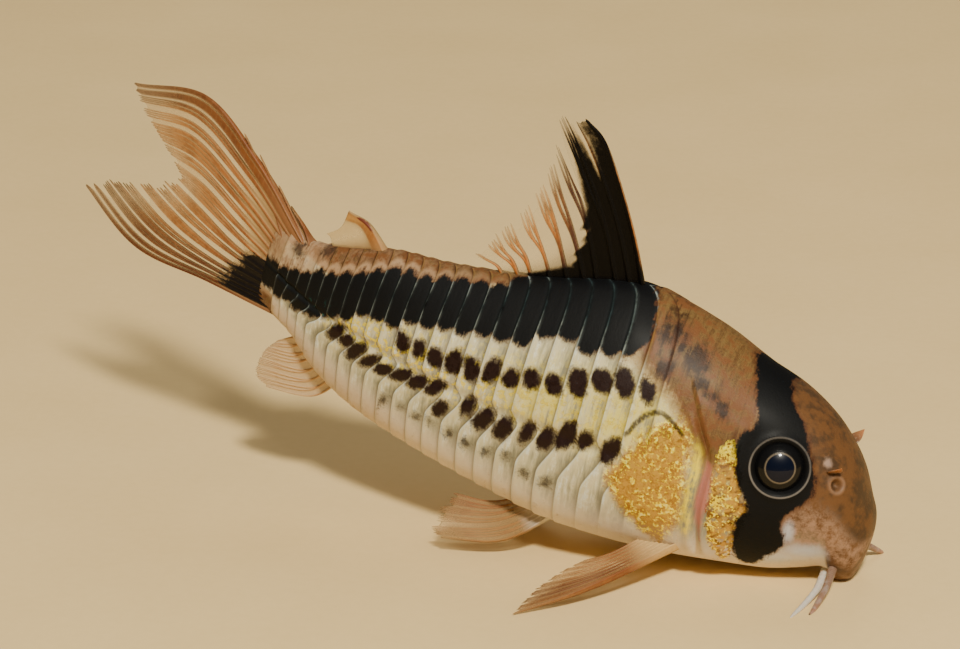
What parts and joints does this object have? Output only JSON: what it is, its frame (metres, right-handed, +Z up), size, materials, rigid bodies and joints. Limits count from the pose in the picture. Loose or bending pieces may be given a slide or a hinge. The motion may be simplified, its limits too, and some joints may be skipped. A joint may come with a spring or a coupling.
{
  "type": "corydoras catfish",
  "caption": "Small armoured catfish, life size and still, head down on mouth and pectoral fins, with rows of side plates, barbels and rayed fins.",
  "frame": {"origin": "centre of the fish's bounding box at the level of the floor it rests on", "axes": "+X ahead, where the snout points; +Y to the fish's left; +Z up, square to the floor"},
  "size_m": [0.0608, 0.0262, 0.031],
  "materials": {
    "skin": "wet sheen",
    "fin": "wet sheen",
    "dark_fin": "wet sheen",
    "barbel": "wet sheen",
    "eye": "glossy"
  },
  "bodies": {
    "root": {"head": "skin", "trunk": "skin", "tail_stalk": "skin", "eye_right": "eye", "eye_left": "eye", "barbel_upper_right": "barbel", "barbel_lower_right": "barbel", "barbel_upper_left": "barbel", "barbel_lower_left": "barbel", "dorsal_fin": "dark_fin", "caudal_fin": "fin", "anal_fin": "fin", "adipose_fin": "fin", "pectoral_fin_right": "fin", "pectoral_fin_left": "fin", "pelvic_fin_right": "fin", "pelvic_fin_left": "fin"}
  },
  "joints": []
}
